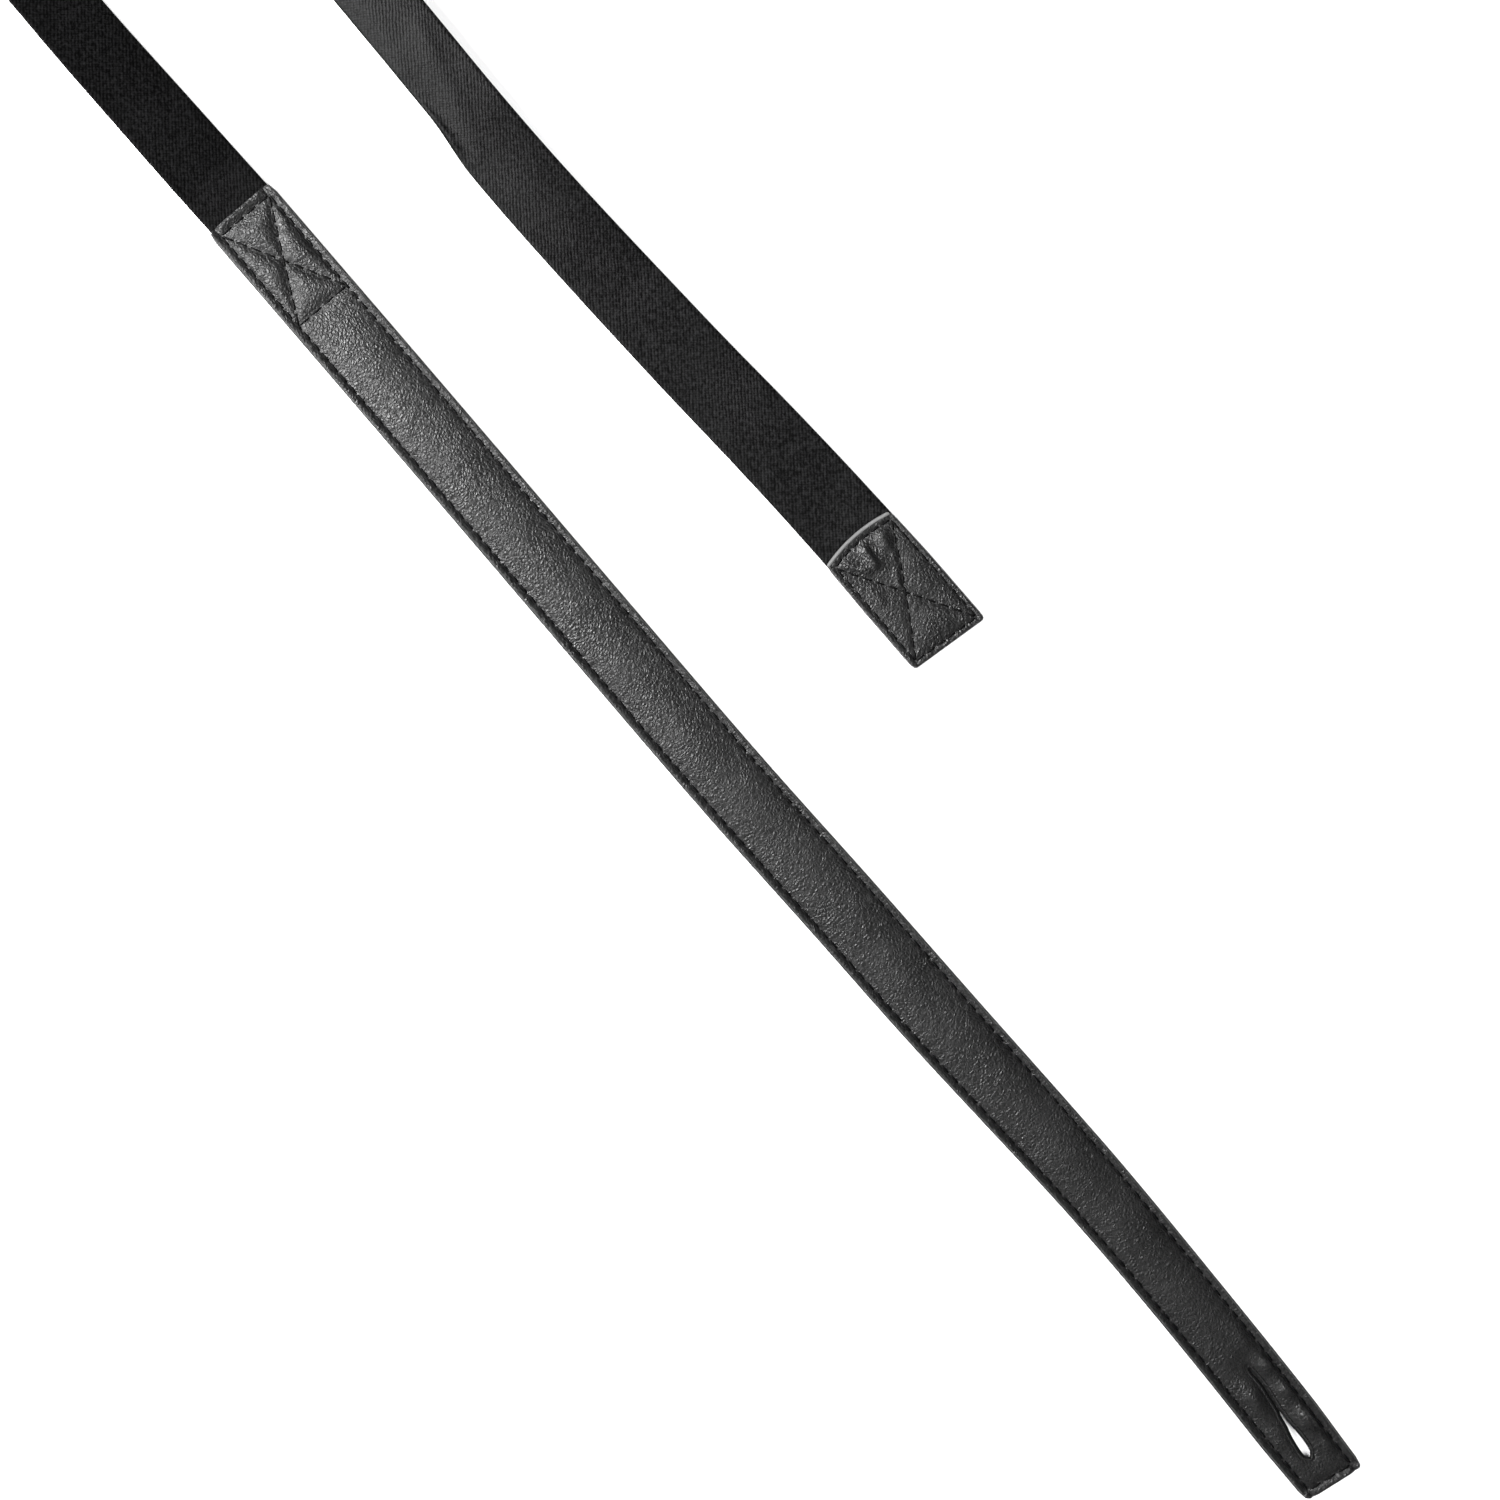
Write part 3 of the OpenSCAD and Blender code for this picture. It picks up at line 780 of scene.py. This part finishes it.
back_rows = edge_steps(0, SLEEVE_LEN, 3.0, EDGE[:5])
back_rows = sorted(set(back_rows) | {s for s, g in SLIT_GAP} | {504.5, 508.5, 510.6})
new_piece(
    "sleeve_back_leather",
    leather_face(back_height, lambda s: rounded_half(s) + 0.45, back_rows,
                 lambda s: through(SLIT_LINE, s) * eased(440, 474, s), gap_at, on_sleeve, lambda top, into: BACK_UNDER),
    back_leather, "sleeve", ("sleeve_back",))

# ---------------------------------------------------------------------------------------------
# What is inside the sleeve: the end of the band, a strip of thin felt padding beyond it, and a
# stiff patch that backs the buttonhole, slit like the leather on both sides of it.

new_piece("sleeve_band_tongue",
          tongue(SLEEVE_Y, MOUTH_X + 1.0, tongue_high.x / MM,
                 (tongue_high.y - tongue_low.y) / 2 / MM - 0.3,
                 lambda x: through(SLEEVE_WAVE, x - MOUTH_X)),
          twill, "sleeve", ("band_sleeve_end",))

felt = Finish("grey_felt", Roughness=0.95, Specular_IOR_Level=0.1)
felt_place = felt.add("TexCoord", out=3)
fibres = felt.add("TexNoise", None, {"Vector": felt_place, "Scale": 900.0, "Detail": 5.0, "Roughness": 0.7})
felt.shades((0.05, 0.05, 0.052), (0.12, 0.12, 0.122), fibres)
felt.relief(fibres, 0.0003)

filler_low, filler_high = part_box("sleeve_filler")
padding = bmesh.new()
padding_rings = []
for s in steps(filler_low.x / MM - MOUTH_X, filler_high.x / MM - MOUTH_X, 2.5):
    half = sleeve_half(s) - MARGIN - 1.6
    ring = [on_sleeve(s, v, LEATHER_T + 0.05) for v in (half, 0, -half)]
    for v in (-half, -half * 0.8, -half * 0.4, 0, half * 0.4, half * 0.8, half):
        ring.append(on_sleeve(s, v, max(1.1, face_height(s, v) - 1.1)))
    padding_rings.append(ring)
skin(padding_rings, padding)
new_piece("sleeve_padding", padding, felt, "sleeve", ("sleeve_filler",))

interlining = Finish("stiff_interlining", Roughness=0.8)
lining_place = interlining.add("TexCoord", out=3)
lining_mesh = interlining.add("TexVoronoi", None, {"Vector": lining_place, "Scale": 1500.0})
interlining.shades((0.012, 0.012, 0.013), (0.035, 0.035, 0.037), lining_mesh)
interlining.relief(lining_mesh, 0.0001)

patch_low, patch_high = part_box("buttonhole_patch")
PATCH_START, PATCH_END = patch_low.x / MM - MOUTH_X, patch_high.x / MM - MOUTH_X
PATCH_HALF = (patch_high.y - patch_low.y) / 2 / MM
PATCH_Z = patch_low.z / MM


def patch_rows():
    """Rows of the patch, close together along the slit."""
    return sorted(set(steps(PATCH_START, PATCH_END, 1.5)) | {s for s, g in SLIT_GAP})


new_piece(
    "buttonhole_backing",
    leather_face(lambda s, v: PATCH_Z + 0.45, lambda s: PATCH_HALF, patch_rows(),
                 lambda s: through(SLIT_LINE, s), lambda s: gap_at(s) + 0.02, on_sleeve,
                 lambda top, into: PATCH_Z + 0.03),
    interlining, "sleeve", ("buttonhole_patch",))

# ---------------------------------------------------------------------------------------------
# The sleeve's seams: black bonded thread, toned darker than the leather as painted shade of the stitch grooves. Each
# stitch dips into
#  its needle holes. A row runs round all four sides, and another makes the crossed box.

thread_dark_as_shade = Finish("black_thread_painted_shade", Roughness=0.6, Specular_IOR_Level=0.15)
thread_place = thread_dark_as_shade.add("TexCoord", out=3)
strands = thread_dark_as_shade.add("TexNoise", None, {"Vector": thread_place, "Scale": 3200.0, "Detail": 2.0})
# The thread's tone is set below the leather's as painted shade of the stitch grooves.
thread_dark_as_shade.shades((0.0004, 0.0004, 0.0004), (0.002, 0.002, 0.0021), strands)
thread_dark_as_shade.relief(strands, 0.00008)

THREAD_R = 0.3


def strand(bm, points, radius, sides=6):
    """A thread along the points, tapering into the leather at both ends."""
    rings = []
    for i, point in enumerate(points):
        ahead = points[min(i + 1, len(points) - 1)] - points[max(i - 1, 0)]
        across = Vector((-ahead.y, ahead.x, 0)).normalized()
        up = ahead.cross(across).normalized()
        size = radius * (0.55 if i in (0, len(points) - 1) else 1.0)
        rings.append([point + (across * math.cos(a) + up * math.sin(a)) * size
                      for a in (math.tau * k / sides for k in range(sides))])
    skin(rings, bm)


def seam(bm, corners, pitch, surface, place, side=1):
    """A row of stitches through the corners, each stitch between two needle holes. The surface's
    height is given by surface, and side is -1 where the stitches show underneath."""
    for (s0, v0), (s1, v1) in zip(corners, corners[1:]):
        length = math.hypot(s1 - s0, v1 - v0)
        count = max(1, round(length / pitch))
        for k in range(count):
            points = []
            for share, lift in ((0.12, -0.3), (0.17, 0.08), (0.32, 0.26), (0.5, 0.3), (0.68, 0.26),
                                (0.83, 0.08), (0.88, -0.3)):
                t = (k + share) / count
                s, v = s0 + (s1 - s0) * t, v0 + (v1 - v0) * t
                points.append(place(s, v, surface + side * lift))
            strand(bm, points, THREAD_R)


def side_corners(half_at, start, end, inset):
    """Corners of a stitch row round a panel, its long sides kept parallel to the edges."""
    places = steps(start, end, 45)
    right = [(s, half_at(s) - inset) for s in places]
    left = [(s, -half_at(s) + inset) for s in reversed(places)]
    return right + left + right[:1]


FACE_GROOVE, BACK_GROOVE = SEAM_Z - 0.18, BACK_UNDER + 0.36

sleeve_row = side_corners(sleeve_half, MOUTH_SEAM, END_SEAM, MARGIN)
box_rows = [[(BOX_END, -BOX_ROW), (BOX_END, BOX_ROW)], [(MOUTH_SEAM, -BOX_ROW), (BOX_END, BOX_ROW)],
            [(MOUTH_SEAM, BOX_ROW), (BOX_END, -BOX_ROW)]]
for name, rows, surface, side, node in (
        ("sleeve_edge_stitches", [sleeve_row], FACE_GROOVE, 1, "sleeve_edge_thread"),
        ("sleeve_edge_stitches_below", [sleeve_row], BACK_GROOVE, -1, "sleeve_edge_bobbin"),
        ("sleeve_box_stitches", box_rows, FACE_GROOVE, 1, "sleeve_cross_thread"),
        ("sleeve_box_stitches_below", box_rows, BACK_GROOVE, -1, "sleeve_cross_bobbin")):
    bm = bmesh.new()
    for row in rows:
        seam(bm, row, STITCH, surface, on_sleeve, side)
    new_piece(name, bm, thread_dark_as_shade, "sleeve", (node,))

# ---------------------------------------------------------------------------------------------
# The buttonhole's edge: satin stitches side by side all round the slit, from its lip to about
# 2 mm out, pulled tight so that the leather dips towards them.

satin = Finish("black_satin_stitch", Roughness=0.45, Specular_IOR_Level=0.35)
satin_place = satin.add("TexCoord", out=3)
sheen = satin.add("TexNoise", None, {"Vector": satin_place, "Scale": 1400.0, "Detail": 2.0})
satin.shades((0.001, 0.001, 0.001), (0.004, 0.004, 0.0041), sheen)
satin.relief(sheen, 0.00008)

random.seed(11)
bm = bmesh.new()
for side in (-1, 1):
    s = SLIT_START
    while s < SLIT_END:
        centre = through(SLIT_LINE, s)
        lean = random.uniform(-0.12, 0.12)
        points = []
        for out, lift in ((-0.08, -0.9), (0.02, -0.25), (0.3, 0.05), (0.75, 0.1), (1.15, 0.02), (1.4, -0.3)):
            v = centre + side * (gap_at(s) + out + 0.05)
            points.append(on_sleeve(s + lean * out, v, face_height(s, v) + lift))
        strand(bm, points, 0.19, sides=5)
        s += 0.36 + random.uniform(-0.03, 0.03)
for end, turned in ((SLIT_START, math.pi), (SLIT_END, 0.0)):
    for k in range(9):
        angle = turned + math.pi * (k / 8 - 0.5)
        points = []
        for out, lift in ((0.05, -0.5), (0.25, 0.04), (0.75, 0.1), (1.15, 0.02), (1.4, -0.3)):
            s = end + math.cos(angle) * out
            v = through(SLIT_LINE, end) + math.sin(angle) * out
            points.append(on_sleeve(s, v, face_height(s, v) + lift))
        strand(bm, points, 0.19, sides=5)
new_piece("buttonhole_satin_stitches", bm, satin, "sleeve", ("buttonhole_thread",))

# ---------------------------------------------------------------------------------------------
# The tab: a short leather end folded over the band's other end. Its mouth is bowed and has a pale
# cut edge, and the crossed rows pull it into small hard puffs beside the mouth.

TAB_LEN = TAB_END_X - TAB_MOUTH_X - 1.9
TAB_HALF = TAB_W / 2
TAB_BOW = 1.9
TAB_INSET = 1.8
TAB_PITCH = 4.1
TAB_ROW = TAB_HALF - TAB_INSET
TAB_SEAMS = [((2.2, -TAB_ROW), (2.2, TAB_ROW)), ((TAB_LEN - 2.0, -TAB_ROW), (TAB_LEN - 2.0, TAB_ROW)),
             ((2.2, -TAB_ROW), (TAB_LEN - 2.0, TAB_ROW)), ((2.2, TAB_ROW), (TAB_LEN - 2.0, -TAB_ROW))]
TAB_PUFFS = [((4.4, 6.2), (7.2, 5.8), 1.1, 1.6), ((4.8, -0.8), (9.4, -1.4), 1.1, 1.4),
             ((4.0, -9.2), (9.4, -4.8), 1.1, 1.2), ((9.8, 6.2), (19.4, 0.2), 0.9, 1.2),
             ((24.6, -2.6), (34.6, -8.6), 0.5, 1.4), ((14.5, -7.4), (19.0, -8.0), 0.4, 1.4)]


def tab_half(s):
    """Half the tab's width, its corners rounded."""
    into = min(s, TAB_LEN - s)
    inset = 1.5 - math.sqrt(max(0.0, 1.5 ** 2 - max(0.0, 1.5 - into) ** 2))
    return TAB_HALF - 0.35 * eased(20, 0, s) - inset


def on_tab(s, v, z):
    """Place of a point on the tab: s from the mouth's corners, bowed back at the mouth."""
    bow = TAB_BOW * (1 - (v / TAB_HALF) ** 2) * (1 - eased(0, 14, s))
    slant = 0.085 * v * eased(8, TAB_LEN, s)
    u = TAB_END_X - TAB_LEN + s - TURN_X
    return Vector((TURN_X + u - bow + slant, TAB_Y + through(TAB_RUN_WAVE, u) + v, z))


def tab_near(s, v):
    """Distance from the nearest seam of the tab, negative outside the stitched outline."""
    near = min(TAB_ROW - abs(v), s - 2.2, TAB_LEN - 2.0 - s)
    return min([near] + [line_distance(s, v, line)[0] for line in TAB_SEAMS])


tab_cushion = None
tab_cushion = cushion(TAB_LEN, lambda s: TAB_HALF, tab_near, 0.8, 34, 0.002, 4.0, 36)


def tab_height(s, v):
    """Height of the tab's face above the table."""
    side = TAB_ROW - abs(v)
    near, along = abs(side), s
    for line in TAB_SEAMS:
        distance, place = line_distance(s, v, line)
        if distance < near:
            near, along = distance, place
    hole = abs((along / TAB_PITCH + 0.5) % 1 - 0.5) * TAB_PITCH
    pinch = math.exp(-(near / 0.5) ** 2)
    z = SEAM_Z + 0.1 - (0.14 + 0.1 * math.exp(-(hole / 0.6) ** 2)) * pinch
    if side > 0 and 2.2 < s < TAB_LEN - 2.0:
        soft = min(1.0, near / 3)
        z += tab_cushion(s, v / TAB_HALF) if tab_cushion else pillow(near, 5.5, 0.7)
        z += soft * 0.12 * noise.noise(Vector((s / 4, v / 4, 6.2)))
        for start, end, height, wide in TAB_PUFFS:
            z += soft * height * math.exp(-(line_distance(s, v, (start, end))[0] / wide) ** 2)
    else:
        z += 0.12 * eased(0, 0.9, near)
    outline = max(0.0, min(tab_half(s) - abs(v), s + 0.35, TAB_LEN - s))
    return z - 0.7 + math.sqrt(max(0.0, 0.7 ** 2 - max(0.0, 0.7 - outline) ** 2))


tab_rows = edge_steps(0, TAB_LEN, 0.45, EDGE)
tab_face = new_piece(
    "tab_face_leather",
    leather_face(tab_height, tab_half, tab_rows, lambda s: 0.0, lambda s: 0.0, on_tab, face_under),
    face_leather, "tab", ("tab_face",))


def tab_back_height(s, v):
    """Top of the tab's back: flat, its edges rounded."""
    outline = max(0.0, min(tab_half(s) + 0.15 - abs(v), s + 0.05, TAB_LEN - s))
    return LEATHER_T - 0.35 + math.sqrt(max(0.0, 0.35 ** 2 - max(0.0, 0.35 - outline) ** 2))


new_piece(
    "tab_back_leather",
    leather_face(tab_back_height, lambda s: tab_half(s) + 0.15, edge_steps(0, TAB_LEN, 2.0, EDGE[:5]),
                 lambda s: 0.0, lambda s: 0.0, on_tab, lambda top, into: BACK_UNDER),
    back_leather, "tab", ("tab_back",))

new_piece("tab_band_tongue",
          tongue(TAB_Y, TAB_MOUTH_X + 3.0, tab_tongue_high.x / MM, TAB_BAND_W / 2 - 0.9,
                 lambda x: through(TAB_RUN_WAVE, x - TURN_X)),
          twill, "tab", ("band_tab_end",))

tab_row = side_corners(tab_half, 2.2, TAB_LEN - 2.0, TAB_INSET)
cross_rows = [list(line) for line in TAB_SEAMS[2:]]
for name, rows, surface, side, node in (
        ("tab_edge_stitches", [tab_row], FACE_GROOVE, 1, "tab_edge_thread"),
        ("tab_edge_stitches_below", [tab_row], BACK_GROOVE, -1, "tab_edge_bobbin"),
        ("tab_cross_stitches", cross_rows, FACE_GROOVE, 1, "tab_cross_thread"),
        ("tab_cross_stitches_below", cross_rows, BACK_GROOVE, -1, "tab_cross_bobbin")):
    bm = bmesh.new()
    for row in rows:
        seam(bm, row, TAB_PITCH, surface, on_tab, side)
    new_piece(name, bm, thread_dark_as_shade, "tab", (node,))

cut_edge = Finish("pale_cut_edge", Roughness=0.6)
edge_place = cut_edge.add("TexCoord", out=3)
nap = cut_edge.add("TexNoise", None, {"Vector": edge_place, "Scale": 1500.0, "Detail": 3.0})
cut_edge.shades((0.09, 0.09, 0.09), (0.17, 0.17, 0.168), nap)
cut_edge.relief(nap, 0.0001)

bm = bmesh.new()
rim = [on_tab(0.15, v, SEAM_Z - 0.1) for v in steps(-TAB_HALF + 0.6, TAB_HALF - 1.1, 0.7)]
strand(bm, rim, 0.6, sides=10)
new_piece("tab_mouth_edge", bm, cut_edge, "tab", ("tab_mouth_binding",))
